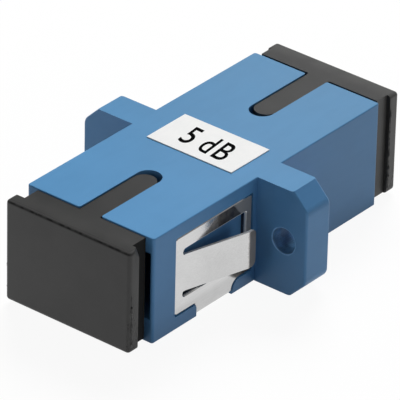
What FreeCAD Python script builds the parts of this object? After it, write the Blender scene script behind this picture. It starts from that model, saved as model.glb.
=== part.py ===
import FreeCAD
import Part
import math
import os

# Keyed push-pull fibre optic attenuator for a panel, closed by a dust cap at each port.
# X runs across the panel flange, Y along the optical axis and Z up, in millimetres.
# The origin is on the optical axis, in the middle of the flange.
# Every piece of a port is drawn for the front port, on the side of negative Y.

# Housing: one moulding with the flange, a port at each end and a web between them
housing_length = 27.8
port_width = 9.1
port_height = 7.5
port_corner_radius = 0.25
port_lead_in = 0.25
port_roof = 0.9
port_cheek = 1.75
web_thickness = 1.2
upright_edge_radius = 0.25
top_edge_radius = 0.1
floor_edge_bevel = 0.1
housing_width = port_width + 2 * port_cheek
housing_height = port_height + 2 * port_roof
housing_end = housing_length / 2
side = housing_width / 2
top = housing_height / 2

# Panel flange with a screw hole on each side
flange_thickness = 2.9
flange_corner_cut = 1.45
flange_corner_radius = 0.9
flange_edge_radius = 0.2
screw_spacing = 18.0
screw_hole_diameter = 2.2
screw_hole_wall = 1.1
screw_hole_bevel = 0.06
flange_span = screw_spacing + screw_hole_diameter + 2 * screw_hole_wall
flange_face = flange_thickness / 2

# Sprung tongue on each side of the panel clip, which holds the panel against the flange
panel_room = 2.05
tongue_width = 3.24
tongue_slot = 0.48
tongue_reach = 1.65
tongue_lip = 0.75
tongue_length = 5.75
tongue_bend_radius = 0.3
tongue_root_radius = 1.2
tongue_corner_radius = 0.45
window_setback = 1.23
window_corner_radius = 0.15
spring_pocket_depth = 0.22
tongue_end = flange_face + panel_room
tongue_bend = tongue_end + tongue_lip
tongue_root = tongue_bend + tongue_length
window_back = flange_face + window_setback

# Panel clip of bent sheet, sunk into the sides and the floor of the front half
clip_sheet = 0.22
clip_clearance = 0.03
clip_edge_gap = 0.1
clip_side_sink = 0.05
clip_floor_sink = 0.14
clip_bend_radius = 0.15
clip_edge_bevel = 0.08
leg_height = 6.8
leg_setback = 0.55
leg_front_band = 1.15
leg_corner_radius = 0.2
strap_setback = 2.3
strap_length = 4.2
strap_front_fillet = 0.45
strap_back_fillet = 0.9
leg_back = flange_face + leg_setback
leg_front = tongue_root + leg_front_band
strap_back = leg_back + strap_setback
strap_front = strap_back + strap_length

# Room for the latch arms beside each port, flared at the mouth
cheek_skin = 0.4
mouth_lip = 0.28
mouth_flare_depth = 2.2
mouth_flare_top = 3.3

# Key on top of a plug or cap, and the keyway that it slides in
key_width = 2.0
key_clearance = 0.08
keyway_end = 5.9
key_end_gap = 0.6
keyway_mouth_radius = 0.25

# Latch insert: base plate, barrel for the sleeve and two hooked arms
insert_clearance = 0.04
insert_plate = 1.5
arm_thickness = 1.0
arm_height = 4.2
arm_flex_gap = 0.35
arm_root_gusset = 0.4
arm_tip_radius = 0.2
hook_reach = 0.55
hook_catch = 7.55
hook_flat = 0.35
hook_slope = 1.3
hook_lead_in = 0.3
barrel_diameter = 4.6
barrel_lip = 0.7
barrel_chamfer = 0.3
ferrule_entry_diameter = 2.7
ferrule_lead_in = 0.35
snap_width = 3.0
snap_length = 0.6
snap_height = 0.15
snap_clearance = 0.05

# Optical core: split sleeve, short ferrule and the fibre that takes the light down
sleeve_outer_diameter = 3.2
sleeve_bore_diameter = 2.5
sleeve_length = 11.4
sleeve_slit = 0.45
sleeve_float = 0.06
sleeve_end_float = 0.1
stub_length = 2.0
stub_clearance = 0.004
stub_chamfer = 0.15
fibre_diameter = 0.125
fibre_clearance = 0.001

# Dust cap: plate, neck that shoulders on the housing, and a hollow plug with two prongs
cap_top_drop = 0.1
cap_floor_rise = 0.28
cap_side_inset = 0.12
cap_plate_thickness = 1.1
cap_edge_radius = 0.32
cap_grip_depth = 0.7
cap_neck_length = 1.55
cap_seat_gap = 0.03
cap_plug_clearance = 0.1
cap_plug_wall = 0.9
cap_barrel_gap = 0.3
cap_arm_gap = 0.3
cap_hook_gap = 0.4
cap_prong_chamfer = 0.3

# Value label on top
label_width = 8.45
label_depth = 4.7
label_thickness = 0.08
label_shift = 0.19

# How far a cutting body runs past the face that it opens
overrun = 2.0


def on_xz(y):
    return lambda u, v: FreeCAD.Vector(u, y, v)


def on_xy(z):
    return lambda u, v: FreeCAD.Vector(u, v, z)


def on_yz(x):
    return lambda u, v: FreeCAD.Vector(x, u, v)


def outline(corners, place):
    """Closed wire through corners given as (u, v, radius), each rounded by an arc of its radius."""
    bends = []
    for i, (u, v, radius) in enumerate(corners):
        corner = place(u, v)
        before = place(*corners[i - 1][:2]) - corner
        after = place(*corners[(i + 1) % len(corners)][:2]) - corner
        before.normalize()
        after.normalize()
        half = before.getAngle(after) / 2
        inwards = before + after
        if radius == 0:
            bends.append((corner, corner, corner))
            continue
        inwards.normalize()
        reach = radius / math.tan(half)
        middle = corner + inwards * (radius / math.sin(half) - radius)
        bends.append((corner + before * reach, middle, corner + after * reach))
    edges = []
    for i, (start, middle, end) in enumerate(bends):
        if not start.isEqual(end, 1e-7):
            edges.append(Part.Arc(start, middle, end).toShape())
        following = bends[(i + 1) % len(bends)][0]
        if not end.isEqual(following, 1e-7):
            edges.append(Part.LineSegment(end, following).toShape())
    return Part.Wire(edges)


def rectangle(low_u, high_u, low_v, high_v, radius=0):
    return [
        (low_u, low_v, radius),
        (high_u, low_v, radius),
        (high_u, high_v, radius),
        (low_u, high_v, radius),
    ]


def centred(width, height, radius=0):
    return rectangle(-width / 2, width / 2, -height / 2, height / 2, radius)


def along_y(corners, start, end):
    return Part.Face(outline(corners, on_xz(start))).extrude(FreeCAD.Vector(0, end - start, 0))


def along_z(corners, start, end):
    return Part.Face(outline(corners, on_xy(start))).extrude(FreeCAD.Vector(0, 0, end - start))


def along_x(corners, start, end):
    return Part.Face(outline(corners, on_yz(start))).extrude(FreeCAD.Vector(end - start, 0, 0))


def rod(diameter, start, end):
    axis = FreeCAD.Vector(0, 1, 0)
    return Part.makeCylinder(diameter / 2, end - start, FreeCAD.Vector(0, start, 0), axis)


def turned(profile):
    """Solid turned about the optical axis from a closed profile of (radius, y) points."""
    face = Part.Face(outline([(r, y, 0) for r, y in profile], on_xy(0)))
    return face.revolve(FreeCAD.Vector(0, 0, 0), FreeCAD.Vector(0, 1, 0), 360)


def half_turn(shape, axis):
    return shape.rotated(FreeCAD.Vector(0, 0, 0), axis, 180)


def at_rear(shape):
    return half_turn(shape, FreeCAD.Vector(0, 0, 1))


def on_both_sides(shape):
    return shape.fuse(half_turn(shape, FreeCAD.Vector(0, 1, 0)))


def at_both_ends(shape):
    return shape.fuse(at_rear(shape))


def edges_at(shape, axis, value):
    """Edges that lie in the plane where the named axis has this value."""
    low, high = axis + "Min", axis + "Max"
    return [
        edge
        for edge in shape.Edges
        if abs(getattr(edge.BoundBox, low) - value) < 1e-6
        and abs(getattr(edge.BoundBox, high) - value) < 1e-6
    ]


# Faces that several pieces share
web_face = web_thickness / 2
clip_outer = side - clip_side_sink
clip_inner = clip_outer - clip_sheet
clip_bottom = -top + clip_floor_sink
seat_side = clip_inner - clip_clearance
seat_floor = clip_bottom + clip_sheet + clip_clearance
tongue_half = tongue_width / 2
window_half = tongue_half + tongue_slot
latch_pocket_side = seat_side - spring_pocket_depth - cheek_skin
latch_wing_height = arm_height + 2 * arm_root_gusset
latch_pocket_height = latch_wing_height + 2 * insert_clearance
plate_face = web_face + insert_plate
arm_outer = latch_pocket_side - arm_flex_gap
arm_inner = arm_outer - arm_thickness
arm_end = hook_catch + hook_flat + hook_slope
hook_tip = arm_inner - hook_reach
keyway_width = key_width + 2 * key_clearance
sleeve_seat_diameter = sleeve_outer_diameter + 2 * sleeve_float
sleeve_seat_end = sleeve_length / 2 + sleeve_end_float
barrel_end = sleeve_seat_end + barrel_lip
cap_top = top - cap_top_drop
cap_floor = cap_floor_rise - top
cap_seat = housing_end + cap_seat_gap
cap_plate_back = cap_seat + cap_neck_length
cap_face = cap_plate_back + cap_plate_thickness
cap_plate_width = housing_width - 2 * cap_side_inset
cap_root_bevel = cap_grip_depth - cap_edge_radius
cap_plug_width = port_width - 2 * cap_plug_clearance
cap_plug_height = port_height - 2 * cap_plug_clearance
cap_tube_end = arm_end + cap_hook_gap
key_end = keyway_end + key_end_gap


def clip_silhouette(grow, bottom):
    """Side view of the clip as (y, z, radius) corners, grown all round for the seat that takes it."""
    front, back = -leg_front - grow, -leg_back + grow
    strap_low, strap_high = -strap_front - grow, -strap_back + grow
    half = leg_height / 2 + grow
    return [
        (front, half, leg_corner_radius),
        (front, -half, leg_corner_radius),
        (strap_low, -half, strap_front_fillet - grow),
        (strap_low, bottom, 0),
        (strap_high, bottom, 0),
        (strap_high, -half, strap_back_fillet - grow),
        (back, -half, leg_corner_radius),
        (back, half, leg_corner_radius),
    ]


def window_void(start, end):
    """Opening round a tongue, with the two slots that free it rounded at its root."""
    window = along_x(
        [
            (-tongue_root, -window_half, 0),
            (-window_back, -window_half, window_corner_radius),
            (-window_back, window_half, window_corner_radius),
            (-tongue_root, window_half, 0),
        ],
        start,
        end,
    )
    for direction in (1, -1):
        tip = FreeCAD.Vector(start, -tongue_root, direction * (tongue_half + tongue_slot / 2))
        window = window.fuse(Part.makeCylinder(tongue_slot / 2, end - start, tip, FreeCAD.Vector(1, 0, 0)))
    return window


def port_void():
    """Everything that is hollow at the front port."""
    mouth, inner = -housing_end, -web_face
    port = along_y(centred(port_width, port_height, port_corner_radius), mouth - overrun, inner)
    pocket = along_y(centred(2 * latch_pocket_side, latch_pocket_height), mouth - overrun, inner)
    lead_in = Part.makeLoft(
        [
            outline(
                centred(port_width + 2 * port_lead_in, port_height + 2 * port_lead_in, port_corner_radius),
                on_xz(mouth),
            ),
            outline(centred(port_width, port_height, port_corner_radius), on_xz(mouth + 2 * port_lead_in)),
        ],
        True,
    )
    flare_half = side - mouth_lip
    flare = along_z(
        [
            (-flare_half, mouth, 0),
            (flare_half, mouth, 0),
            (latch_pocket_side, mouth + mouth_flare_depth, 0),
            (-latch_pocket_side, mouth + mouth_flare_depth, 0),
        ],
        -latch_pocket_height / 2,
        mouth_flare_top,
    )
    half = keyway_width / 2
    keyway = along_z(
        [
            (-half - overrun, mouth - overrun, 0),
            (half + overrun, mouth - overrun, 0),
            (half + overrun, mouth, 0),
            (half, mouth, keyway_mouth_radius),
            (half, -keyway_end, half),
            (-half, -keyway_end, half),
            (-half, mouth, keyway_mouth_radius),
            (-half - overrun, mouth, 0),
        ],
        0,
        top + overrun,
    )
    snap_middle = -(web_face + plate_face) / 2
    snap_seat_length = snap_length / 2 + snap_clearance
    snap_seats = along_y(
        centred(
            snap_width + 2 * snap_clearance,
            port_height + 2 * (snap_height + snap_clearance - insert_clearance),
        ),
        snap_middle - snap_seat_length,
        snap_middle + snap_seat_length,
    )
    return port.fuse([pocket, lead_in, flare, keyway, snap_seats])


def clip_seat():
    """Sunken bed of the clip, round both sides and the floor, with a spring pocket behind each tongue."""
    reach = side + overrun
    bed = along_x(clip_silhouette(clip_edge_gap, -top - overrun), -reach, reach)
    core = along_y(
        [
            (-seat_side, seat_floor, clip_bend_radius - clip_clearance),
            (seat_side, seat_floor, clip_bend_radius - clip_clearance),
            (seat_side, top + overrun, 0),
            (-seat_side, top + overrun, 0),
        ],
        -housing_end,
        0,
    )
    pocket = window_void(seat_side - spring_pocket_depth, seat_side + clip_sheet)
    return bed.cut(core).fuse(on_both_sides(pocket))


def screw_hole():
    """Right screw hole, with its rim broken on both faces of the flange."""
    face, bevel, radius = flange_face, screw_hole_bevel, screw_hole_diameter / 2
    hole = turned(
        [
            (0, -face),
            (radius + bevel, -face),
            (radius, -face + bevel),
            (radius, face - bevel),
            (radius + bevel, face),
            (0, face),
        ]
    )
    return hole.translated(FreeCAD.Vector(screw_spacing / 2, 0, 0))


def make_housing():
    plan = rectangle(-side, side, -housing_end, housing_end, upright_edge_radius)
    body = along_z(plan, -top, top)
    body = body.makeFillet(top_edge_radius, edges_at(body, "Z", top))
    body = body.makeChamfer(floor_edge_bevel, edges_at(body, "Z", -top))
    tip, cut = flange_span / 2, flange_corner_cut
    flange = along_y(
        [
            (tip, -top + cut, flange_corner_radius),
            (tip, top - cut, flange_corner_radius),
            (tip - cut, top, 0),
            (cut - tip, top, 0),
            (-tip, top - cut, flange_corner_radius),
            (-tip, -top + cut, flange_corner_radius),
            (cut - tip, -top, 0),
            (tip - cut, -top, 0),
        ],
        -flange_face,
        flange_face,
    )
    rims = edges_at(flange, "Y", -flange_face) + edges_at(flange, "Y", flange_face)
    outer_rims = [e for e in rims if max(e.BoundBox.XMax, -e.BoundBox.XMin) > tip - 1e-6]
    flange = flange.makeFillet(flange_edge_radius, outer_rims)
    housing = body.fuse(flange).cut(at_both_ends(port_void()))
    housing = housing.cut(rod(sleeve_seat_diameter, -web_thickness, web_thickness))
    housing = housing.cut(clip_seat())
    housing = housing.cut(on_both_sides(screw_hole()))
    return housing.removeSplitter()


def make_panel_clip():
    outer, inner = clip_outer, clip_inner
    bottom = clip_bottom
    rise = leg_height / 2
    channel = along_y(
        [
            (outer, rise, 0),
            (outer, bottom, clip_bend_radius + clip_sheet),
            (-outer, bottom, clip_bend_radius + clip_sheet),
            (-outer, rise, 0),
            (-inner, rise, 0),
            (-inner, bottom + clip_sheet, clip_bend_radius),
            (inner, bottom + clip_sheet, clip_bend_radius),
            (inner, rise, 0),
        ],
        -housing_end,
        0,
    )
    clip = channel.common(along_x(clip_silhouette(0, -top), -side, side))
    clip = clip.cut(on_both_sides(window_void(inner - clip_sheet, outer + clip_sheet)))
    bend_line = bottom + clip_bend_radius + clip_sheet
    rims = edges_at(clip, "X", outer) + edges_at(clip, "X", -outer)
    rims = [e for e in rims if e.BoundBox.ZMax > bend_line + 1e-6]
    clip = clip.makeChamfer(clip_edge_bevel, rims)
    return clip.fuse(on_both_sides(make_tongue())).removeSplitter()


def make_tongue():
    """Right tongue: rises from its root at a slant, then bends to run along the side at its end."""
    crest = clip_outer + tongue_reach
    slant = math.atan2(tongue_reach, tongue_root - tongue_bend)
    inner_bend = -tongue_root + (tongue_reach - clip_sheet + clip_sheet / math.cos(slant)) / math.tan(slant)
    inner_root = -tongue_root + (clip_sheet / math.cos(slant) - clip_sheet) / math.tan(slant)
    start = -tongue_root - tongue_root_radius / 2
    ribbon = along_z(
        [
            (clip_outer, start, 0),
            (clip_outer, -tongue_root, tongue_root_radius),
            (crest, -tongue_bend, tongue_bend_radius + clip_sheet),
            (crest, -tongue_end, 0),
            (crest - clip_sheet, -tongue_end, 0),
            (crest - clip_sheet, inner_bend, tongue_bend_radius),
            (clip_inner, inner_root, tongue_root_radius + clip_sheet),
            (clip_inner, start, 0),
        ],
        -tongue_half,
        tongue_half,
    )
    trim = along_x(
        [
            (start, -tongue_half, 0),
            (-tongue_end, -tongue_half, tongue_corner_radius),
            (-tongue_end, tongue_half, tongue_corner_radius),
            (start, tongue_half, 0),
        ],
        0,
        crest + overrun,
    )
    return ribbon.common(trim)


def make_latch_insert():
    back, front = -web_face, -plate_face
    slack = 2 * insert_clearance
    plate = along_y(centred(port_width - slack, port_height - slack, port_corner_radius), front, back)
    wings = along_y(centred(2 * latch_pocket_side - slack, latch_wing_height), front, back)
    plate = plate.fuse(wings)
    snap_middle = (front + back) / 2
    snap_low = port_height / 2 - insert_clearance
    snap = along_x(
        [
            (snap_middle - snap_length / 2, snap_low - insert_clearance, 0),
            (snap_middle - snap_length / 2, snap_low + snap_height, 0),
            (snap_middle + snap_length / 2, snap_low, 0),
            (snap_middle + snap_length / 2, snap_low - insert_clearance, 0),
        ],
        -snap_width / 2,
        snap_width / 2,
    )
    snaps = on_both_sides(snap)
    radius, seat, entry = barrel_diameter / 2, sleeve_seat_diameter / 2, ferrule_entry_diameter / 2
    barrel = turned(
        [
            (seat, back),
            (radius, back),
            (radius, -barrel_end + barrel_chamfer),
            (radius - barrel_chamfer, -barrel_end),
            (entry + ferrule_lead_in, -barrel_end),
            (entry, -barrel_end + ferrule_lead_in),
            (entry, -sleeve_seat_end),
            (seat, -sleeve_seat_end),
        ]
    )
    arm = along_z(
        [
            (arm_inner, front, 0),
            (arm_inner, -hook_catch, 0),
            (hook_tip, -hook_catch, 0),
            (hook_tip, -hook_catch - hook_flat, 0),
            (arm_inner + hook_lead_in, -arm_end, 0),
            (arm_outer, -arm_end, arm_tip_radius),
            (arm_outer, front, 0),
        ],
        -arm_height / 2,
        arm_height / 2,
    )
    gusset = along_z(
        [
            (arm_inner, front - arm_root_gusset, 0),
            (arm_inner, front, 0),
            (arm_inner - arm_root_gusset, front, 0),
        ],
        -arm_height / 2,
        arm_height / 2,
    )
    bore = rod(sleeve_seat_diameter, front, back)
    insert = plate.fuse([snaps, on_both_sides(arm.fuse(gusset))]).cut(bore)
    return insert.fuse(barrel).removeSplitter()


def make_split_sleeve():
    half = sleeve_length / 2
    sleeve = rod(sleeve_outer_diameter, -half, half).cut(rod(sleeve_bore_diameter, -half, half))
    slit = along_y(rectangle(-sleeve_slit / 2, sleeve_slit / 2, 0, sleeve_outer_diameter), -half, half)
    return sleeve.cut(slit)


def make_attenuator_stub():
    half, radius = stub_length / 2, sleeve_bore_diameter / 2 - stub_clearance
    bore = fibre_diameter / 2 + fibre_clearance
    return turned(
        [
            (bore, -half),
            (radius - stub_chamfer, -half),
            (radius, -half + stub_chamfer),
            (radius, half - stub_chamfer),
            (radius - stub_chamfer, half),
            (bore, half),
        ]
    )


def make_dust_cap():
    half = cap_plate_width / 2
    face = rectangle(-half, half, cap_floor, cap_top, cap_edge_radius)
    plate = along_y(face, -cap_face, -cap_plate_back)
    plate = plate.makeFillet(cap_edge_radius, edges_at(plate, "Y", -cap_face))
    half = half - cap_grip_depth
    foot = half + cap_root_bevel
    neck = along_z(
        [
            (-half, -cap_seat, 0),
            (half, -cap_seat, 0),
            (half, cap_root_bevel - cap_plate_back, 0),
            (foot, -cap_plate_back, 0),
            (-foot, -cap_plate_back, 0),
            (-half, cap_root_bevel - cap_plate_back, 0),
        ],
        cap_floor,
        cap_top,
    )
    hollow_top = barrel_diameter / 2 + cap_barrel_gap
    plug = along_y(centred(cap_plug_width, cap_plug_height, port_corner_radius), -cap_seat, -key_end)
    plug = plug.makeChamfer(cap_prong_chamfer, edges_at(plug, "Y", -key_end))
    key = along_z(
        [
            (-key_width / 2, -cap_seat, 0),
            (key_width / 2, -cap_seat, 0),
            (key_width / 2, -key_end, key_width / 2),
            (-key_width / 2, -key_end, key_width / 2),
        ],
        hollow_top,
        cap_top,
    )
    hollow = along_y(
        centred(cap_plug_width - 2 * cap_plug_wall, 2 * hollow_top, port_corner_radius),
        -cap_plate_back,
        -key_end + overrun,
    )
    arm_room = arm_height / 2 + cap_arm_gap
    gap = along_y(centred(housing_width, 2 * arm_room), -cap_tube_end, -key_end + overrun)
    return plate.fuse([neck, plug, key]).cut(hollow).cut(gap).removeSplitter()


def make_value_label():
    label = along_z(centred(label_width, label_depth), top, top + label_thickness)
    return label.translated(FreeCAD.Vector(label_shift, 0, 0))


latch_insert = make_latch_insert()
dust_cap = make_dust_cap()
pieces = {
    "housing": make_housing(),
    "panel_clip": make_panel_clip(),
    "front_latch_insert": latch_insert,
    "rear_latch_insert": at_rear(latch_insert),
    "split_sleeve": make_split_sleeve(),
    "attenuator_stub": make_attenuator_stub(),
    "attenuating_fibre": rod(fibre_diameter, -stub_length / 2, stub_length / 2),
    "front_dust_cap": dust_cap,
    "rear_dust_cap": at_rear(dust_cap),
    "value_label": make_value_label(),
}

os.makedirs("parts", exist_ok=True)
for name, shape in pieces.items():
    shape.exportStep("parts/" + name + ".step")
    print(name, len(shape.Solids), "solid", round(shape.Volume, 3), "mm3", shape.isValid())
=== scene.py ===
# %% [markdown]
# # A fibre optic attenuator for a panel
#
# The object joins two fibre plugs and takes a fixed share out of the light between them.
# Its blue housing is one moulding, about 28 mm long, with a flange that sits against a panel.
# A bent steel clip holds the panel, a black dust cap closes each port, and a white label gives
# the loss. All of these come ready made as the frame, in metres, so this lesson is about what
# the frame lacks: finishes that stand up to a close look, and the small things that lie on it.

import math

import bmesh
import bpy
from mathutils import Matrix, Vector


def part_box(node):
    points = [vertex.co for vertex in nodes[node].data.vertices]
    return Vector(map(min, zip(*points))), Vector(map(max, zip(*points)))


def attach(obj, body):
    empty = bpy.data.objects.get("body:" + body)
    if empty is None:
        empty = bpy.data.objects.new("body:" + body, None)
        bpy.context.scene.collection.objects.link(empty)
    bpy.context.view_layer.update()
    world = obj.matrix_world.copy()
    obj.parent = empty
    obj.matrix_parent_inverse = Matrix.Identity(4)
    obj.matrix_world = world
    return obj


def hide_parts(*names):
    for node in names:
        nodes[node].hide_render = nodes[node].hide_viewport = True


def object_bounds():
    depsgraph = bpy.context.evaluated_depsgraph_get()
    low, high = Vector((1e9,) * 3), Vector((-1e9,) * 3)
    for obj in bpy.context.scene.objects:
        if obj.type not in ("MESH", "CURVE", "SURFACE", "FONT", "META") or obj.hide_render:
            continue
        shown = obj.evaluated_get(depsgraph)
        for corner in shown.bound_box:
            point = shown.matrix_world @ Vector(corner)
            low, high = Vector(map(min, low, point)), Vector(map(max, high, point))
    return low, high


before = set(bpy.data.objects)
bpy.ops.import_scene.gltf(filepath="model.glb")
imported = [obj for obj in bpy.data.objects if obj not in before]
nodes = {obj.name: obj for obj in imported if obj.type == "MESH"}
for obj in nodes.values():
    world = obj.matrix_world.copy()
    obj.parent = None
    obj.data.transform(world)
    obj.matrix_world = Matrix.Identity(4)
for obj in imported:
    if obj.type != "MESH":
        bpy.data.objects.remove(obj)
cad_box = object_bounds()
MM = 0.001

for name in sorted(nodes):
    low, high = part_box(name)
    print(name, [round(side / MM, 2) for side in high - low], "mm")

# %% [markdown]
# ## The camera
#
# The object is seen through a long lens: edges that are parallel on it stay nearly parallel in the
# picture. A camera can be placed by hand until the outlines agree, but with four numbers (two
# angles, a roll and a distance) and an aim point the same view can be written down exactly. The
# focal length is known in pixels, so it is turned into millimetres on the sensor.

# %% Place the camera
IMAGE_SIDE = 400
FOCAL_LENGTH = 5244.4
VIEW_AZIMUTH = math.radians(38.570)
VIEW_ELEVATION = math.radians(30.504)
VIEW_ROLL = math.radians(1.356)
VIEW_DISTANCE = 409.09 * MM
AIM = Vector((-0.152, -0.396, -0.364)) * MM


def direction(azimuth, elevation):
    """Unit vector towards a viewer who stands at these angles; azimuth 0 looks along +Y."""
    level = math.cos(elevation)
    return Vector((math.sin(azimuth) * level, -math.cos(azimuth) * level, math.sin(elevation)))


def facing(place, target):
    """Matrix of a camera or lamp at a place, looking at a target."""
    turn = (target - place).to_track_quat("-Z", "Y").to_matrix().to_4x4()
    return Matrix.Translation(place) @ turn


camera_data = bpy.data.cameras.new("camera")
camera_data.lens = FOCAL_LENGTH / IMAGE_SIDE * camera_data.sensor_width
camera = bpy.data.objects.new("camera", camera_data)
bpy.context.scene.collection.objects.link(camera)
stand = AIM + direction(VIEW_AZIMUTH, VIEW_ELEVATION) * VIEW_DISTANCE
camera.matrix_world = facing(stand, AIM) @ Matrix.Rotation(VIEW_ROLL, 4, "Z")
bpy.context.scene.camera = camera
bpy.context.scene.view_settings.view_transform = "Standard"
print("camera lens", round(camera_data.lens, 1), "mm")

# %% [markdown]
# ## Shader sums as Python sums
#
# A finish is a small calculation that runs at every point of a surface. Wiring it up node by
# node is long to write and hard to read, so one class wraps an output socket. Adding or
# multiplying two of them adds the Math node that does it, and one method makes any other node.
# Most of the work is then done by smooth steps: a few of them, multiplied, mark out a place on
# the object, and noise from 0 to 1 makes its colour and its border uneven.


# %% A socket that takes part in sums
NOISE_LOW = 0.3
NOISE_HIGH = 0.7


def feed(tree, node, inputs):
    """Give a node's inputs their values, or link them where the value is a Wire."""
    for key, value in inputs.items():
        if isinstance(value, Wire):
            tree.links.new(value.socket, node.inputs[key])
        else:
            node.inputs[key].default_value = value


class Wire:
    """One output socket of a node tree. Python sums on it add Math nodes to that tree."""

    def __init__(self, tree, socket=None):
        self.tree = tree
        self.socket = socket

    def node(self, kind, settings=None, inputs=None, output=0):
        """Add a node of this kind: its settings first, then the values or links of its inputs."""
        made = self.tree.nodes.new(kind)
        for name, value in (settings or {}).items():
            setattr(made, name, value)
        feed(self.tree, made, inputs or {})
        return Wire(self.tree, made.outputs[output])

    def math(self, operation, *values):
        """Add a Math node that works on these values."""
        return self.node("ShaderNodeMath", {"operation": operation}, dict(enumerate(values)))

    def __add__(self, other):
        return self.math("ADD", self, other)

    __radd__ = __add__

    def __sub__(self, other):
        return self.math("SUBTRACT", self, other)

    def __rsub__(self, other):
        return self.math("SUBTRACT", other, self)

    def __mul__(self, other):
        return self.math("MULTIPLY", self, other)

    __rmul__ = __mul__

    def __abs__(self):
        return self.math("ABSOLUTE", self)

    def root(self):
        return self.math("SQRT", self)

    def most(self, other):
        return self.math("MAXIMUM", self, other)

    def ramp(self, start, end, low=0.0, high=1.0):
        """Smooth step from low, where the value is start, to high, where it is end."""
        return self.node(
            "ShaderNodeMapRange",
            {"interpolation_type": "SMOOTHSTEP"},
            {"Value": self, "From Min": start, "From Max": end, "To Min": low, "To Max": high},
        )

    def past(self, limit, soft):
        """1 where the value is past a limit, 0 before it; soft is half the width of the border."""
        return self.ramp(limit - soft, limit + soft)

    def short_of(self, limit, soft):
        """1 where the value is short of a limit, 0 past it, with a border like that of past."""
        return self.ramp(limit + soft, limit - soft)

    def near(self, middle, reach, soft):
        """1 where the value is near the middle, 0 out of reach; soft is the width of the border."""
        return abs(self - middle).ramp(reach, reach - soft)

    def sway(self, amount):
        """Noise turned into a value around 0 that spans this amount."""
        return (self - 0.5) * amount

    def between(self, first, second):
        """Colour that goes from first to second as this value goes from 0 to 1."""
        settings = {"data_type": "RGBA"}
        return self.node("ShaderNodeMix", settings, {0: self, 6: first, 7: second}, output=2)

    def tint(self, first, second):
        """Colour that goes from first to second over the range that noise mostly fills."""
        return self.ramp(NOISE_LOW, NOISE_HIGH).between(first, second)

    def scaled(self, factors):
        """Coordinates or a colour, multiplied by three factors."""
        return self.node("ShaderNodeVectorMath", {"operation": "MULTIPLY"}, {0: self, 1: factors})

    def noise(self, size, detail=2.0):
        """Cloudy pattern from 0 to 1, with lumps of about this size in metres."""
        inputs = {"Vector": self, "Scale": 1 / size, "Detail": detail}
        return self.node("ShaderNodeTexNoise", None, inputs)

    def axes(self):
        """The X, Y and Z of these coordinates, as three values."""
        parts = self.node("ShaderNodeSeparateXYZ", None, {0: self})
        return [Wire(self.tree, parts.socket.node.outputs[i]) for i in range(3)]

    def normal_axes(self):
        """The X, Y and Z of the direction in which the surface looks."""
        return self.node("ShaderNodeNewGeometry", output="Normal").axes()

    def bump(self, depth):
        """Normal of a surface that this height, from 0 to 1, raises by up to a depth in metres."""
        return self.node("ShaderNodeBump", None, {"Height": self, "Distance": depth})


# %% Helpers for materials
def grey(level):
    """A colour without a tint."""
    return (level, level, level, 1)


def new_material(name):
    """A new material and a Wire that adds nodes to it."""
    material = bpy.data.materials.new(name)
    material.use_nodes = True
    return material, Wire(material.node_tree)


def new_finish(name):
    """A new material and the object's own coordinates in it."""
    material, tree = new_material(name)
    return material, tree.node("ShaderNodeTexCoord", output="Object")


def coat(material, inputs):
    """Give the material's shader its colour, roughness and the rest."""
    feed(material.node_tree, material.node_tree.nodes["Principled BSDF"], inputs)


def dress(material, *names):
    """Put a finish on these nodes of the frame."""
    for name in names:
        for slot in nodes[name].material_slots:
            slot.material = material
    print(material.name, "on", ", ".join(names))


# %% [markdown]
# ## Floor, studio and lamps
#
# A product shot on white has one soft light above the object and pale card all round it. The
# card does half the work: it fills the shaded sides, and polished steel shows little else. The
# floor is therefore pale to the light, and white to the camera and to mirrors, apart from the
# object's own soft shadow. From below it is clear, so the underside can be looked at too. The
# studio behind it is white to the camera, dim to everything else, and darker in front of the
# object, where a photographer would stand.

# %% White floor that keeps the shadow
FLOOR_SIDE = 4.0
FLOOR_GAP = 0.02 * MM
FLOOR_GREY = 0.62
SHADOW_SHARE = 0.07
WHITE = grey(1)

floor_level = cad_box[0].z - FLOOR_GAP
bpy.ops.mesh.primitive_plane_add(size=FLOOR_SIDE, location=(0, 0, floor_level))
floor = bpy.context.object
floor.name = "floor"


def rays(tree, *kinds):
    """1 for light paths of any of these kinds, such as those that end in the camera."""
    first, *others = (tree.node("ShaderNodeLightPath", output=f"Is {kind} Ray") for kind in kinds)
    for other in others:
        first = first.most(other)
    return first


def mixed(tree, share, first, second):
    """Shader with this share of the second and the rest of the first."""
    return tree.node("ShaderNodeMixShader", None, {0: share, 1: first, 2: second})


def make_floor_finish():
    material, tree = new_material("floor_card")
    card = tree.node("ShaderNodeBsdfDiffuse", None, {"Color": grey(FLOOR_GREY)})
    shaded = tree.node("ShaderNodeBsdfDiffuse", None, {"Color": WHITE})
    white = tree.node("ShaderNodeEmission", None, {"Color": WHITE, "Strength": 1.0})
    backdrop = mixed(tree, SHADOW_SHARE, white, shaded)
    above = mixed(tree, rays(tree, "Camera", "Glossy", "Transmission"), card, backdrop)
    from_below = tree.node("ShaderNodeNewGeometry", output="Backfacing")
    clear = tree.node("ShaderNodeBsdfTransparent")
    output = material.node_tree.nodes["Material Output"]
    feed(material.node_tree, output, {"Surface": mixed(tree, from_below, above, clear)})
    return material


floor.data.materials.append(make_floor_finish())
print("floor at", round(floor_level / MM, 2), "mm")

# %% Studio round the object
STUDIO_FILL = 0.12
MIRROR_FRONT = 0.1
MIRROR_BACK = 0.3
MIRROR_TURN = 0.6

world = bpy.data.worlds.new("studio")
bpy.context.scene.world = world
world.use_nodes = True


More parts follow.
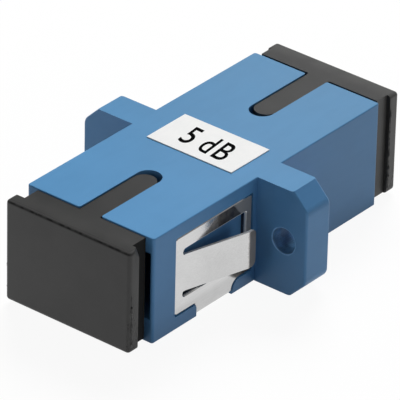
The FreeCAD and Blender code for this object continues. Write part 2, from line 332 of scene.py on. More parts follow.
def make_studio(tree):
    fill, front, back, white = (
        tree.node("ShaderNodeBackground", None, {"Color": WHITE, "Strength": level})
        for level in (STUDIO_FILL, MIRROR_FRONT, MIRROR_BACK, 1.0)
    )
    backwards = tree.node("ShaderNodeTexCoord", output="Generated").axes()[1]
    mirror = mixed(tree, backwards.past(0, MIRROR_TURN), front, back)
    unseen = mixed(tree, rays(tree, "Glossy"), fill, mirror)
    surface = mixed(tree, rays(tree, "Camera", "Transmission"), unseen, white)
    feed(tree.tree, tree.tree.nodes["World Output"], {"Surface": surface})


make_studio(Wire(world.node_tree))
print("studio with", len(world.node_tree.nodes), "nodes")

# %% Lamps
# A lamp's level is the brightness that it gives to a white card which faces it at the origin.
LAMPS = {
    "key": {"place": Vector((-0.375, 0.625, 0.75)), "size": 0.5, "level": 1.17},
    "side": {"place": Vector((0.45, 0.1, 0.1)), "size": 0.2, "level": 0.105},
    "front": {"place": Vector((0, -0.45, 0.15)), "size": 0.2, "level": 0.07},
    "sheen": {"place": Vector((-0.045, 0.075, 0.05)), "size": 0.03, "level": 0.06},
}
SHEEN_ONLY = {"sheen"}

for name, lamp in LAMPS.items():
    lamp_data = bpy.data.lights.new(name, "AREA")
    lamp_data.size = lamp["size"]
    lamp_data.energy = math.pi ** 2 * lamp["place"].length_squared * lamp["level"]
    lamp_object = bpy.data.objects.new(name, lamp_data)
    bpy.context.scene.collection.objects.link(lamp_object)
    lamp_object.matrix_world = facing(lamp["place"], Vector((0, 0, 0)))
    lamp_object.visible_glossy = name in SHEEN_ONLY
    lamp_object.visible_diffuse = name not in SHEEN_ONLY
    print(name, "lamp", round(lamp_data.energy, 2), "W")

# %% [markdown]
# ## The blue moulding
#
# The housing is a satin engineering plastic. Its colour is even, but no moulding is perfectly
# so: the pigment is a little cloudy where the melt flowed, and the tool's spark-eroded skin
# leaves a fine grain that softens the gloss. Both are noise at the right size: clouds of a few
# millimetres in the colour, grain of a twentieth of a millimetre in the bump and the roughness.
# The blue is also painted paler towards the front, as painted light. Painted shade darkens the
# screw holes' bores, the small slot under the clip's tongue and the rear corner of the pocket
# behind it, and a painted highlight pales the holes' rims. All of these are found by their place
# on the object, with smooth steps along its axes or out from a hole's middle. The sides, which
# face away from the light, carry a faint violet painted shade that the top lacks, and the normal
# tells which is which.

# %% Painted shade and highlights on the housing
SLOT_INSIDE = 5.2 * MM
SLOT_MIDDLE = -8.9 * MM
SLOT_REACH = 1.7 * MM
SLOT_LEVEL = -2.15 * MM
SLOT_HALF_HEIGHT = 0.75 * MM
POCKET_INSIDE = 5.6 * MM
POCKET_OUTSIDE = 6.04 * MM
POCKET_HALF_HEIGHT = 2.3 * MM
POCKET_WALL = -2.68 * MM
HOLE_PLACE = 9 * MM
HOLE_RADIUS = 1.12 * MM


def clip_painted_shade(x, y, z):
    """Painted shade in the slot under the tongue and at the rear wall of the pocket behind it."""
    slot = abs(x).past(SLOT_INSIDE, 0.1 * MM) * y.near(SLOT_MIDDLE, SLOT_REACH, 0.2 * MM)
    slot = slot * z.near(SLOT_LEVEL, SLOT_HALF_HEIGHT, 0.1 * MM)
    corner = abs(x).ramp(POCKET_INSIDE, POCKET_INSIDE + 0.15 * MM)
    corner = corner * abs(x).short_of(POCKET_OUTSIDE, 0.02 * MM)
    corner = corner * abs(z).short_of(POCKET_HALF_HEIGHT, 0.1 * MM)
    return slot.most(corner * y.near(POCKET_WALL, 0.08 * MM, 0.04 * MM))


def hole_light_and_shade(place, x, z):
    """Painted rim highlight and bore shade of the screw holes, by the distance from a hole's
    middle.
    """
    from_hole = abs(x) - HOLE_PLACE
    radius = (from_hole * from_hole + z * z).root()
    rim_highlight = radius.ramp(HOLE_RADIUS - 0.04 * MM, HOLE_RADIUS)
    rim_highlight = rim_highlight * radius.ramp(HOLE_RADIUS + 0.1 * MM, HOLE_RADIUS + 0.04 * MM)
    rim_highlight = rim_highlight * place.noise(0.6 * MM, detail=3).ramp(0.35, 0.6, 0.3, 1.0)
    bore_shade = radius.ramp(HOLE_RADIUS, HOLE_RADIUS - 0.05 * MM)
    return rim_highlight, bore_shade * place.noise(0.7 * MM, detail=3).ramp(0.38, 0.58, 0.15, 0.95)


print("screw holes", round(2 * HOLE_PLACE / MM, 2), "mm apart")

# %% Satin blue plastic
LIGHT_FADE_END = 14 * MM
# Painted light: the front blue is paler than the rear one.
FRONT_BLUE = (0.0865, 0.278, 0.527, 1), (0.101, 0.305, 0.57, 1)
REAR_BLUE = (0.0825, 0.248, 0.451, 1), (0.096, 0.272, 0.488, 1)
# Painted shade: the tint of the sides, which face away from the light.
SIDE_SHADE_TINT = (1.0, 0.925, 0.975)
# Painted highlight: factors that pale the screw holes' rims.
RIM_HIGHLIGHT = (3.0, 2.1, 1.75)
# Painted shade colour for the slot, the pocket corner and the screw holes' bores.
HOUSING_SHADE = (0.03, 0.028, 0.027, 1)


def make_blue_plastic():
    material, place = new_finish("blue_plastic")
    clouds = place.noise(5 * MM, detail=3)
    flow = place.scaled((1, 0.25, 1)).noise(0.9 * MM)
    grain = place.noise(0.06 * MM)
    x, y, z = place.axes()
    # Painted light: the blue pales towards the front, where the light is stronger.
    light_fade = y.ramp(-LIGHT_FADE_END, LIGHT_FADE_END)
    deep, pale = (light_fade.between(front, rear) for front, rear in zip(FRONT_BLUE, REAR_BLUE))
    colour = (clouds * 0.6 + flow * 0.25 + grain * 0.15).tint(deep, pale)
    up = place.normal_axes()[2]
    # Painted shade: faces that don't look up take a violet tint.
    colour = up.ramp(0.8, 0.95).between(colour.scaled(SIDE_SHADE_TINT), colour)
    # Painted highlight on the screw holes' rims and painted shade in their bores.
    rim_highlight, bore_shade = hole_light_and_shade(place, x, z)
    colour = rim_highlight.between(colour, colour.scaled(RIM_HIGHLIGHT))
    # Painted shade: the slot, the pocket corner and the bores go towards near black.
    colour = (clip_painted_shade(x, y, z) * 0.9).most(bore_shade).between(colour, HOUSING_SHADE)
    coat(
        material,
        {
            "Base Color": colour,
            "Roughness": 0.42 + grain.sway(0.16) + clouds.sway(0.1),
            "Specular IOR Level": 0.33,
            "Normal": grain.bump(0.0025 * MM),
        },
    )
    return material


dress(make_blue_plastic(), "housing")

# %% [markdown]
# ## The steel clip
#
# The clip is cut and bent from bright rolled stainless sheet. Rolling leaves very fine lines
# along the strip, too fine to see one by one, which smear a reflection a little. Noise that is
# squeezed across the strip and drawn out along it gives those lines. Not all of it is bright.
# The cut edges, which the shears leave rough and pale, are found by their normal, since the bright
# faces all look sideways. A painted highlight runs along two sides of each window. Painted
# reflection leaves the end next to the flange darker and duller, and the lip brown; a darker
# painted reflection lies on the upper arm, and a painted shadow makes a dark wedge under the
# tongue. Each is a mask made of smooth steps along the axes, with noise added to the position so
# that its border wanders. A picture painted over the steel could do the same, but a few sums need
# no file and stay sharp at any distance.

# %% Painted highlights, reflections and shadow on the clip
LEG_FACE = 6.4 * MM
WINDOW_TOP = 2.12 * MM
# Painted highlight along the windows: where it starts, how far it reaches, how soft its border is.
GLINT_START = -9 * MM
GLINT_REACH = 0.08 * MM
GLINT_SOFT = 0.04 * MM
# The patch on the upper arm is a painted reflection; the wedge under the tongue a painted shadow.
HAZE_START = -6.5 * MM
HAZE_SLOPE = 1.6
PATCH_START = -6.2 * MM
PATCH_END = -4.1 * MM
PATCH_SLOPE = 0.83
PATCH_TOP = 3.15 * MM
PATCH_FLOOR = 1.85 * MM
WEDGE_START = -4.6 * MM
WEDGE_LEVEL = -2.8 * MM
WEDGE_SLOPE = 0.69
WEDGE_TOP = -1.8 * MM


def on_leg(x):
    """1 on the clip's legs, 0 on the tongues, which stand further out."""
    return abs(x).short_of(LEG_FACE, 0.05 * MM)


def window_glint(x, y, z):
    """Painted highlight along the upper and the rear side of each window."""
    upper = z.near(WINDOW_TOP + 0.03 * MM, GLINT_REACH, GLINT_SOFT) * y.past(GLINT_START, 0.5 * MM)
    upper = upper * y.short_of(POCKET_WALL - 0.05 * MM, 0.05 * MM)
    rear = y.near(POCKET_WALL + 0.01 * MM, GLINT_REACH, GLINT_SOFT)
    rear = rear * abs(z).short_of(WINDOW_TOP - 0.05 * MM, 0.05 * MM)
    return upper.most(rear) * on_leg(x)


def reflection_and_shadow_places(y, z, drift):
    """Painted dark reflection on the upper arm and painted shadow as a wedge under the tongue."""
    rise = z - PATCH_TOP
    haze = (y - rise * HAZE_SLOPE).past(HAZE_START, 0.3 * MM) * 0.8
    dark_reflection = haze.most((y + drift).past(PATCH_START, 0.2 * MM))
    dark_reflection = dark_reflection * (y + rise * PATCH_SLOPE + drift * 0.3).short_of(PATCH_END, 0.1 * MM)
    dark_reflection = dark_reflection * z.past(PATCH_FLOOR, 0.1 * MM)
    wedge = z + (y - WEDGE_START) * WEDGE_SLOPE + drift * 0.3
    wedge = wedge.past(WEDGE_LEVEL, 0.15 * MM) * y.past(WEDGE_START, 0.6 * MM)
    return dark_reflection.most(wedge * z.short_of(WEDGE_TOP, 0.1 * MM))


print("windows reach up to", round(WINDOW_TOP / MM, 2), "mm")

# %% Bright rolled steel
# Painted reflection: the end next to the flange, from here on and above this floor.
REFLECTION_END = -4.275 * MM
REFLECTION_FLOOR = -2.6 * MM
LIP_FACE = 7.8 * MM
EDGE_FLOOR = -4.15 * MM
STRAP_LEVEL = -2.9 * MM
# Painted reflection colours for the end next to the flange and for the lip.
STEEL_REFLECTION = (0.42, 0.395, 0.36, 1)
STEEL_LIP_REFLECTION = (0.24, 0.225, 0.21, 1)
# Painted reflection on the upper arm and painted shadow under the tongue, dark to less dark.
STEEL_DARK_PAINT = (0.03, 0.028, 0.026, 1), (0.1, 0.09, 0.08, 1)
STEEL_CUT = (0.82, 0.82, 0.81, 1)
# Painted highlight along the windows.
STEEL_GLINT = (0.97, 0.97, 0.96, 1)


def make_clip_steel():
    material, place = new_finish("rolled_steel")
    lines = place.scaled((1, 0.03, 1)).noise(0.05 * MM, detail=3)
    stains = place.noise(1.6 * MM, detail=4)
    blotches = place.noise(0.5 * MM, detail=4)
    drift = blotches.sway(0.5 * MM)
    x, y, z = place.axes()
    sideways = abs(place.normal_axes()[0])
    flat = sideways.ramp(0.75, 0.9)
    cut = sideways.short_of(0.5, 0.1) * z.past(EDGE_FLOOR, 0.05 * MM)
    glint = window_glint(x, y, z)
    lip = abs(x).past(LIP_FACE, 0.05 * MM) * flat
    # Painted reflection: the end next to the flange and the lip are darker and duller.
    reflection_band = (y + drift * 0.5).past(REFLECTION_END, 0.125 * MM) * z.past(REFLECTION_FLOOR, 0.2 * MM) * flat
    # Painted reflection on the upper arm and painted shadow under the tongue.
    painted_dark = reflection_and_shadow_places(y, z, drift) * on_leg(x) * flat
    painted_marks = reflection_band.most(painted_dark)
    strap = z.short_of(STRAP_LEVEL, 0.4 * MM) * 0.16
    tongue = abs(x).ramp(LEG_FACE, LEG_FACE + 0.5 * MM) * 0.07
    bright = (lines * 0.6 + stains * 0.4).ramp(NOISE_LOW, NOISE_HIGH, 0.59, 0.65)
    colour = reflection_band.between(bright * (1 - strap - tongue), lip.between(STEEL_REFLECTION, STEEL_LIP_REFLECTION))
    colour = painted_dark.between(colour, blotches.ramp(0.35, 0.65).between(*STEEL_DARK_PAINT))
    # Painted highlight along two sides of each window.
    colour = glint.between(cut.between(colour, STEEL_CUT), STEEL_GLINT)
    coat(
        material,
        {
            "Base Color": colour,
            "Metallic": (1.0 - painted_marks * 0.5 - cut * 0.55) * (1.0 - glint * 0.9),
            "Roughness": 0.13 + stains.sway(0.1) + lines.sway(0.08) + painted_marks * 0.2 + cut * 0.3,
            "Coat Weight": 0.3,
            "Coat Roughness": 0.4,
            "Normal": lines.bump(0.0006 * MM),
        },
    )
    return material


dress(make_clip_steel(), "panel_clip")

# %% [markdown]
# ## The dust caps
#
# The caps are soft black plastic with a matt skin. They are pulled off and pushed back all day,
# so the rim of the plate is nicked and rubbed, more so low down, where a thumb finds it. Painted
# light pales the roundings along the top, the rear plate, the rear cap's sides and the faces that
# look up at the front. On the front cap painted shade keeps two places dark and dull: the sides of
# the neck, deep in their recess, and patches of the front's upper edge. Which way a face looks is
# known from its normal, and so is what is rounded: there the normal is neither level nor upright.

# %% Painted light and shade on the caps
CAP_PLATE = 1.1 * MM
NECK_LIMIT = 5.9 * MM
HOUSING_END = 13.9 * MM
cap_low, cap_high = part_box("front_dust_cap")
REAR_PLATE = -cap_low.y - CAP_PLATE


def cap_painted_light(y, across, along, up):
    """Painted light on the rear plate, on the rear cap's sides and on what looks up at the front.
    """
    plate = y.ramp(REAR_PLATE - 0.8 * MM, REAR_PLATE + 0.9 * MM, 0, 0.78)
    sides = y.ramp(0, 1 * MM) * abs(across).ramp(0.5, 0.7)
    front = y.ramp(1.2 * MM - REAR_PLATE, -0.3 * MM - REAR_PLATE, 0, 0.3) * up.ramp(0.8, 0.95)
    return plate.most(sides).most(front) * abs(along).ramp(0.8, 0.6)


def cap_painted_shade(x, y, across, along, up, patches):
    """Painted shade on the sides of the front cap's neck and in patches of the front's upper edge.
    """
    neck = abs(across).ramp(0.7, 0.9) * abs(x).short_of(NECK_LIMIT, 0.05 * MM)
    edge = along.ramp(-0.6, -0.75) * up.ramp(0.25, 0.45) * patches.ramp(0.38, 0.6, 0.1, 0.75)
    return neck.most(edge) * y.ramp(-HOUSING_END, -HOUSING_END - 0.1 * MM)


print("rear plate from", round(REAR_PLATE / MM, 2), "mm")

# %% Black cap plastic
CAP_BLACK = grey(0.021), (0.029, 0.029, 0.0285, 1)
# Painted light for the rear plate, the rear cap's sides and what looks up at the front.
CAP_LIGHT_PAINT = (0.06, 0.06, 0.058, 1)
# Painted light for the roundings along the top.
CAP_ROUNDING_LIGHT = (0.085, 0.085, 0.084, 1)
# Painted shade for the front cap's neck sides and the front's upper edge.
CAP_SHADE_PAINT = grey(0.004)
CAP_RUBBED = (0.1, 0.1, 0.098, 1)
CAP_NICK = grey(0.006)


def make_cap_plastic():
    material, place = new_finish("black_cap_plastic")
    x, y, z = place.axes()
    across, along, up = place.normal_axes()
    grain = place.noise(0.05 * MM)
    haze = place.noise(2.5 * MM, detail=3)
    near_rim = (cap_high.x - abs(x)).short_of(0.35 * MM, 0.2 * MM)
    near_rim = near_rim * z.ramp(cap_high.z, cap_low.z, 0.55, 1.0)
    nicks = (place.scaled((1, 1, 0.5)).noise(0.2 * MM, detail=3) * near_rim).ramp(0.5, 0.62)
    rubbed = (place.scaled((1, 1, 0.25)).noise(0.35 * MM, detail=3) * near_rim).ramp(0.42, 0.62)
    # Painted light on the roundings along the top, which the light misses.
    rounding_light = up.ramp(0.5, 0.75) * up.ramp(0.99, 0.93)
    # Painted shade on the neck's sides and in patches of the front's upper edge.
    neck_and_edge_shade = cap_painted_shade(x, y, across, along, up, place.noise(0.45 * MM, detail=4))
    colour = (haze * 0.7 + grain * 0.3).tint(*CAP_BLACK)
    # Layers: painted light, painted light on the top roundings, painted shade, then rubbing and
    # nicks.
    for mask, layer in (
        (cap_painted_light(y, across, along, up) * haze.ramp(0.1, 0.6), CAP_LIGHT_PAINT),
        (rounding_light, CAP_ROUNDING_LIGHT),
        (neck_and_edge_shade, CAP_SHADE_PAINT),
        (rubbed * 0.35, CAP_RUBBED),
        (nicks * 0.7, CAP_NICK),
    ):
        colour = mask.between(colour, layer)
    coat(
        material,
        {
            "Base Color": colour,
            "Roughness": 0.46 + grain.sway(0.2) + rubbed * 0.12 + rounding_light * 0.1 + neck_and_edge_shade * 0.5,
            "Normal": (grain * 0.1 + rubbed * 0.2 - nicks).bump(0.03 * MM),
        },
    )
    return material


cap_plastic = make_cap_plastic()
dress(cap_plastic, "front_dust_cap", "rear_dust_cap")

# %% [markdown]
# ## A square step behind the plates
#
# A cap's neck runs straight into the plate and leaves a square step for a fingernail. The frame
# slopes that corner off and makes both caps alike, so each is replaced by a copy of its own:
# the sides of the neck are moved, and boxes are cut away with a Boolean modifier. Two boxes take
# the slopes, two more leave a gap between the rear cap and the housing's end, and one lies askew
# and chips a corner of the front plate. The frame's mesh has its corners split, one point for each
# face that meets there, and a Boolean needs a closed skin, so the points are welded first.


# %% Tools for finished pieces
def rework(mesh, change):
    """Change a mesh through a bmesh."""
    shell = bmesh.new()
    shell.from_mesh(mesh)
    change(shell)
    shell.to_mesh(mesh)
    shell.free()


def evaluated(item):
    """The plain mesh that an object's modifiers or text settings make; the object is removed."""
    bpy.context.scene.collection.objects.link(item)
    bpy.context.view_layer.update()
    depsgraph = bpy.context.evaluated_depsgraph_get()
    made = bpy.data.meshes.new_from_object(item.evaluated_get(depsgraph))
    bpy.data.objects.remove(item)
    return made


def add_piece(name, mesh, body):
    """Link a finished mesh as a piece that rides on a body; it keeps the finish of its mesh."""
    piece = bpy.data.objects.new(name, mesh)
    bpy.context.scene.collection.objects.link(piece)
    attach(piece, body)
    size = [round(side / MM, 2) for side in piece.dimensions]
    print(name, len(mesh.polygons), "faces", size, "mm")
    return piece


# %% Weld a cap and move the sides of its neck
CAP_GRIP = 0.7 * MM
FRAME_NECK = cap_high.x - CAP_GRIP
NECK_FOUND = 0.01 * MM
WELD = 0.0001 * MM


def weld(shell):
    """Make one point of those that share a place."""
    bmesh.ops.remove_doubles(shell, verts=shell.verts, dist=WELD)


def move_neck_sides(shell, neck):
    """Move the neck's left and right side to these distances from the middle."""
    for point in shell.verts:
        if abs(abs(point.co.x) - FRAME_NECK) < NECK_FOUND:
            side = 1 if point.co.x > 0 else -1
            point.co.x = side * neck[side]


print("necks in the frame", round(2 * FRAME_NECK / MM, 2), "mm wide")

# %% Boxes to cut away
CAP_SLOPE = 0.4 * MM
KEY_HALF = 1.05 * MM
SEAT_DEPTH = 0.6 * MM
CHIP = [
    Vector(point) * MM
    for point in ((6.18, -16.26, 4.55), (5.84, -15.48, 4.55), (6.18, -15.48, 3.8))
]
CHIP_WIDTH = 2.4 * MM
CHIP_DEPTH = 1.2 * MM
CHIP_DROP = 0.7 * MM
CHIP_MARGIN = 0.5 * MM
CUT_MARGIN = 1 * MM
SKIN = 0.002 * MM


def add_box(shell, middle, size, turn=Matrix()):
    """Add a box of this size to a bmesh, turned about its middle."""
    place = Matrix.Translation(middle) @ turn @ Matrix.Diagonal((*size, 1))
    bmesh.ops.create_cube(shell, size=1, matrix=place)


def add_slope_boxes(shell, way, neck):
    """Two boxes, one on each side, that hold the slopes of the cap at this end."""
    size = Vector((CAP_GRIP + CUT_MARGIN, CAP_SLOPE, cap_high.z - cap_low.z + 2 * CUT_MARGIN))
    for side in (-1, 1):
        across = side * (neck[side] + SKIN + size.x / 2)
        along = way * (REAR_PLATE - SKIN - CAP_SLOPE / 2)
        add_box(shell, Vector((across, along, (cap_low.z + cap_high.z) / 2)), size)


def add_seat_boxes(shell, way, gap):
    """Two boxes on top, one on each side of the key, that hold the neck off the housing's end."""
    size = Vector((cap_high.x, 2 * gap, SEAT_DEPTH + CUT_MARGIN))
    for side in (-1, 1):
        across = side * (KEY_HALF + size.x / 2)
        level = cap_high.z - SEAT_DEPTH + size.z / 2
        add_box(shell, Vector((across, way * HOUSING_END, level)), size)


def add_chip_box(shell, front, rear, low):
    """A box that lies on the plane through three points and takes off what stands beyond it."""
    along = (rear - front).normalized()
    out = (low - front).cross(along).normalized()
    up = out.cross(along)
    size = Vector(((rear - front).length + CHIP_MARGIN, CHIP_WIDTH, CHIP_DEPTH))
    middle = (front + rear) / 2 - up * CHIP_DROP + out * size.z / 2
    add_box(shell, middle, size, Matrix((along, up, out)).transposed().to_4x4())


print("chip", round((CHIP[1] - CHIP[0]).length / MM, 2), "mm long")

# %% Caps with a square step
SHARP = math.radians(35)
FRONT_NECK = {-1: 5.2 * MM, 1: 5.5 * MM}
REAR_NECK = {-1: 5.82 * MM, 1: 5.82 * MM}
REAR_GAP = 0.28 * MM


def without(name, mesh, add_boxes):
    """The mesh less what lies in the boxes that add_boxes puts in a bmesh."""
    boxes = bpy.data.objects.new("cut_boxes", bpy.data.meshes.new("cut_boxes"))
    bpy.context.scene.collection.objects.link(boxes)
    rework(boxes.data, add_boxes)
    carrier = bpy.data.objects.new(name, mesh)
    cut = carrier.modifiers.new("cut", "BOOLEAN")
    cut.operation = "DIFFERENCE"
    cut.solver = "EXACT"
    cut.use_self = True
    cut.object = boxes
    made = evaluated(carrier)
    bpy.data.objects.remove(boxes)
    return made


def squared_cap(node, name, way, neck, gap, chip):
    """Copy of a cap with a square step, its neck moved, and a gap or a chip where there is one."""

    def prepare(shell):
        weld(shell)
        move_neck_sides(shell, neck)

    def add_boxes(shell):
        add_slope_boxes(shell, way, neck)
        if gap:
            add_seat_boxes(shell, way, gap)
        if chip:
            add_chip_box(shell, *chip)

    mesh = nodes[node].data.copy()
    rework(mesh, prepare)
    made = without(name, mesh, add_boxes)
    if "custom_normal" in made.attributes:
        made.attributes.remove(made.attributes["custom_normal"])
    made.shade_smooth()
    made.set_sharp_from_angle(angle=SHARP)
    return made


for node, name, body, way, neck, gap, chip in (
    ("front_dust_cap", "front_cap_moulding", "front_cap", -1, FRONT_NECK, 0, CHIP),
    ("rear_dust_cap", "rear_cap_moulding", "rear_cap", 1, REAR_NECK, REAR_GAP, None),
):
    cap = add_piece(name, squared_cap(node, name, way, neck, gap, chip), body)
    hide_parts(node)

# %% [markdown]
# ## Flash on the caps' sides
#
# Where the two halves of a worn mould meet, a little plastic squeezes out and is torn off, which
# leaves a ragged bead along the plate's upright edges. A bead that follows a line is a job for
# Geometry Nodes: the tree draws each edge as a curve, gives every point of it an uneven thickness
# from noise, and sweeps a small ring along it. A modelled chain of lumps would do the same, but
# here the sizes stay as inputs, and both caps use the one tree with a seed of their own.

# %% Line and thickness of a bead
FLASH_STEP = 0.05 * MM


def ragged_thickness(tree, sizes):
    """Thickness of the bead: lumps from noise, thin at both ends of the ragged stretch."""
    along = tree.node("GeometryNodeSplineParameter")
    ragged_end = 1.0 - sizes["Clean share"]
    taper = along.ramp(0.0, 0.06) * along.ramp(ragged_end, ragged_end - 0.2)
    lumps = tree.node(
        "ShaderNodeTexNoise",
        {"noise_dimensions": "4D"},
        {
            "Vector": tree.node("GeometryNodeInputPosition"),
            "W": sizes["Seed"],
            "Scale": tree.math("DIVIDE", 1.0, sizes["Lump"]),
            "Detail": 5.0,
        },
    )
    return sizes["Bead"] * lumps.ramp(0.36, 0.7, 0.1, 1.0) * (taper * 0.9 + 0.1)


def upright_edge(tree, sizes, side):
    """The plate's edge on this side, as a curve with points at even steps."""
    across = sizes["Half width"] * side
    bottom, top = (
        tree.node("ShaderNodeCombineXYZ", None, {"X": across, "Y": sizes["Line"], "Z": level})
        for level in (sizes["Bottom"], sizes["Top"])
    )
    line = tree.node("GeometryNodeCurvePrimitiveLine", None, {"Start": bottom, "End": top})
    steps = {"Curve": line, "Length": FLASH_STEP}
    return tree.node("GeometryNodeResampleCurve", {"mode": "LENGTH"}, steps)


print("upright edges", round((cap_high.z - cap_low.z) / MM, 2), "mm high")

# %% A tree that lays ragged beads along two upright edges
FLASH_INPUTS = ["Half width", "Line", "Bottom", "Top", "Bead", "Lump", "Clean share", "Seed"]
FLASH_CORNERS = 6


def make_flash_tree(material):
    group = bpy.data.node_groups.new("edge_flash", "GeometryNodeTree")
    group.interface.new_socket("Flash", in_out="OUTPUT", socket_type="NodeSocketGeometry")
    for name in FLASH_INPUTS:
        group.interface.new_socket(name, in_out="INPUT", socket_type="NodeSocketFloat")
    tree = Wire(group)
    given = group.nodes.new("NodeGroupInput").outputs
    sizes = {name: Wire(group, given[name]) for name in FLASH_INPUTS}
    circle = {"Resolution": FLASH_CORNERS, "Radius": 1.0}
    ring = tree.node("GeometryNodeCurvePrimitiveCircle", None, circle)
    thickness = ragged_thickness(tree, sizes)
    both = group.nodes.new("GeometryNodeJoinGeometry")
    for side in (-1, 1):
        edge = upright_edge(tree, sizes, side)
        sweep = {"Curve": edge, "Profile Curve": ring, "Scale": thickness, "Fill Caps": True}
        feed(group, both, {"Geometry": tree.node("GeometryNodeCurveToMesh", None, sweep)})
    beads = {"Geometry": Wire(group, both.outputs[0])}
    whole = tree.node("GeometryNodeRealizeInstances", None, beads)
    done = tree.node("GeometryNodeSetMaterial", None, {"Geometry": whole, "Material": material})
    feed(group, group.nodes.new("NodeGroupOutput"), {"Flash": done})
    return group


flash_tree = make_flash_tree(cap_plastic)
print("flash tree with", len(flash_tree.nodes), "nodes")


# %% Flash of both caps
def grown(name, group, values):
    """The mesh that a Geometry Nodes tree makes from these inputs, its faces turned outwards."""
    carrier = bpy.data.objects.new(name, bpy.data.meshes.new(name))
    modifier = carrier.modifiers.new("shape", "NODES")
    modifier.node_group = group
    for item in group.interface.items_tree:
        if item.in_out == "INPUT":
            modifier[item.identifier] = values[item.name]
    mesh = evaluated(carrier)
    rework(mesh, lambda shell: bmesh.ops.recalc_face_normals(shell, faces=shell.faces))
    mesh.polygons.foreach_set("material_index", [0] * len(mesh.polygons))
    mesh.materials.pop(index=0)
    return mesh


CAP_EDGE = 0.32 * MM
EDGE = {"Half width": cap_high.x, "Bottom": cap_low.z + CAP_EDGE, "Top": cap_high.z - CAP_EDGE}
FLASH = {
    "front_cap_flash": {
        "body": "front_cap",
        "Line": cap_low.y + CAP_EDGE,
        "Bead": 0.12 * MM,
        "Lump": 0.55 * MM,
        "Clean share": 0.35,
        "Seed": 3.0,
    },
    "rear_cap_flash": {
        "body": "rear_cap",
        "Line": REAR_PLATE + 0.12 * MM,
        "Bead": 0.16 * MM,
        "Lump": 0.5 * MM,
        "Clean share": 0.0,
        "Seed": 11.0,
    },
}

for name, values in FLASH.items():
    add_piece(name, grown(name, flash_tree, EDGE | values), values["body"])

# %% [markdown]
# ## Inside: latch inserts, ceramic and fibre
#
# With a cap pulled, the port shows the ivory insert with its two hooked arms, and in the middle
# the end of the ceramic sleeve. The insert is unpigmented plastic, slightly yellow and waxy. The
# ceramic is ground and polished, so it is far smoother than anything round it.

# %% Ivory plastic, ceramic and glass
IVORY = (0.66, 0.62, 0.51, 1), (0.76, 0.73, 0.63, 1)
CERAMIC = (0.8, 0.79, 0.75, 1), (0.87, 0.865, 0.84, 1)
FIBRE = (0.62, 0.68, 0.7, 1), (0.9, 0.93, 0.94, 1)
CORE_RADIUS = 0.0045 * MM


def make_ivory_plastic():
    material, place = new_finish("ivory_plastic")
    clouds = place.noise(2 * MM, detail=3)
    grain = place.noise(0.05 * MM)
    coat(
        material,
        {
            "Base Color": (clouds * 0.7 + grain * 0.3).tint(*IVORY),
            "Roughness": 0.38 + grain.sway(0.16),
            "Normal": grain.bump(0.002 * MM),
        },
    )
    return material


def make_ceramic():
    material, place = new_finish("polished_ceramic")
    rings = place.scaled((0.1, 1, 0.1)).noise(0.04 * MM)
    clouds = place.noise(1 * MM)
    coat(
        material,
        {
            "Base Color": (rings * 0.5 + clouds * 0.5).tint(*CERAMIC),
            "Roughness": 0.12 + rings.sway(0.08),
            "Normal": rings.bump(0.0004 * MM),
        },
    )
    return material


def make_fibre_glass():
    material, place = new_finish("clear_fibre")
    x, _, z = place.axes()
    core = (x * x + z * z).root().short_of(CORE_RADIUS, 0.0015 * MM)
    roughness = 0.08 + place.noise(0.02 * MM) * 0.06
    coat(material, {"Base Color": core.between(*FIBRE), "Roughness": roughness})
    return material


dress(make_ivory_plastic(), "front_latch_insert", "rear_latch_insert")
dress(make_ceramic(), "split_sleeve", "attenuator_stub")
dress(make_fibre_glass(), "attenuating_fibre")

# %% [markdown]
# ## The label and its print
#
# The label is coated paper: white, faintly fibrous and a little shiny. The loss that it states
# is a plain value, as on a resistor or a dial. Printed ink has almost no height, but a mesh
# needs some, so the text is made a solid of six thousandths of a millimetre that lies on the
# paper. The letters stand a little askew, as a hand-fed label does: a matrix that adds some of
# one axis to the other leans them and lets the line fall.

# %% Coated paper
PAPER = (0.91, 0.915, 0.91, 1), (0.955, 0.955, 0.945, 1)


def make_label_paper():
    material, place = new_finish("coated_paper")
    fibres = place.scaled((1, 0.3, 1)).noise(0.12 * MM, detail=3)
    clouds = place.noise(1.5 * MM)
    coat(
        material,
        {
            "Base Color": (fibres * 0.5 + clouds * 0.5).tint(*PAPER),
            "Roughness": 0.5 + fibres.sway(0.2),
            "Normal": fibres.bump(0.002 * MM),
        },
    )
    return material


dress(make_label_paper(), "value_label")

# %% Ink and letters
INK = (0.001, 0.001, 0.0012, 1), (0.004, 0.004, 0.0045, 1)
STROKE_GAIN = 0.008


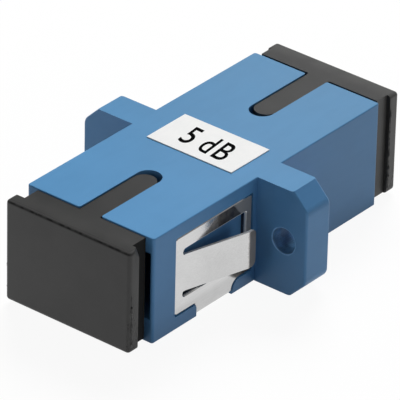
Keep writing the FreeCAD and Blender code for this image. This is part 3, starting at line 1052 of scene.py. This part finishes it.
def make_ink():
    material, place = new_finish("printed_ink")
    spread = place.noise(0.08 * MM, detail=3)
    coat(
        material,
        {
            "Base Color": spread.tint(*INK),
            "Roughness": 0.8 + spread.sway(0.3),
            "Specular IOR Level": 0.02,
        },
    )
    return material


def box_of(points):
    """Lowest and highest corner of some points."""
    return [Vector(map(pick, *points)) for pick in (min, max)]


def glyph_mesh(letter):
    """One letter as a mesh with sides of 1, upright in XY, with its middle at the origin."""
    curve = bpy.data.curves.new("glyph", "FONT")
    curve.body = letter
    curve.extrude = 0.5
    curve.offset = STROKE_GAIN
    mesh = evaluated(bpy.data.objects.new("glyph", curve))
    low, high = box_of([v.co for v in mesh.vertices])
    size = high - low
    to_middle = Matrix.Translation(-(low + high) / 2)
    mesh.transform(Matrix.Diagonal((1 / size.x, 1 / size.y, 1, 1)) @ to_middle)
    return mesh


ink = make_ink()
print(ink.name, "with", len(ink.node_tree.nodes), "nodes")

# %% Printed value
# Each letter has the place of its middle along the line, and its width.
GLYPHS = {
    "5": (-1.73 * MM, 1.06 * MM),
    "d": (0.255 * MM, 1.04 * MM),
    "B": (1.83 * MM, 1.2 * MM),
}
GLYPH_HEIGHT = 2.62 * MM
INK_HEIGHT = 0.006 * MM
PRINT_SINK = 0.093 * MM
PRINT_FALL = -0.073
PRINT_LEAN = -0.098

label_low, label_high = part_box("value_label")
label_middle = (label_low + label_high) / 2
label_top = Matrix.Translation((label_middle.x, label_middle.y, label_high.z + INK_HEIGHT / 2))
askew = Matrix(((1, PRINT_LEAN, 0), (PRINT_FALL, 1, 0), (0, 0, 1))).to_4x4()


def add_letters(shell):
    for letter, (middle, width) in GLYPHS.items():
        mesh = glyph_mesh(letter)
        place = Matrix.Translation((middle, -PRINT_SINK, 0))
        size = Matrix.Diagonal((width, GLYPH_HEIGHT, INK_HEIGHT, 1))
        mesh.transform(label_top @ askew @ place @ size)
        shell.from_mesh(mesh)
    weld(shell)


text_mesh = bpy.data.meshes.new("value_print")
rework(text_mesh, add_letters)
text_mesh.materials.append(ink)
add_piece("value_print", text_mesh, "adapter")
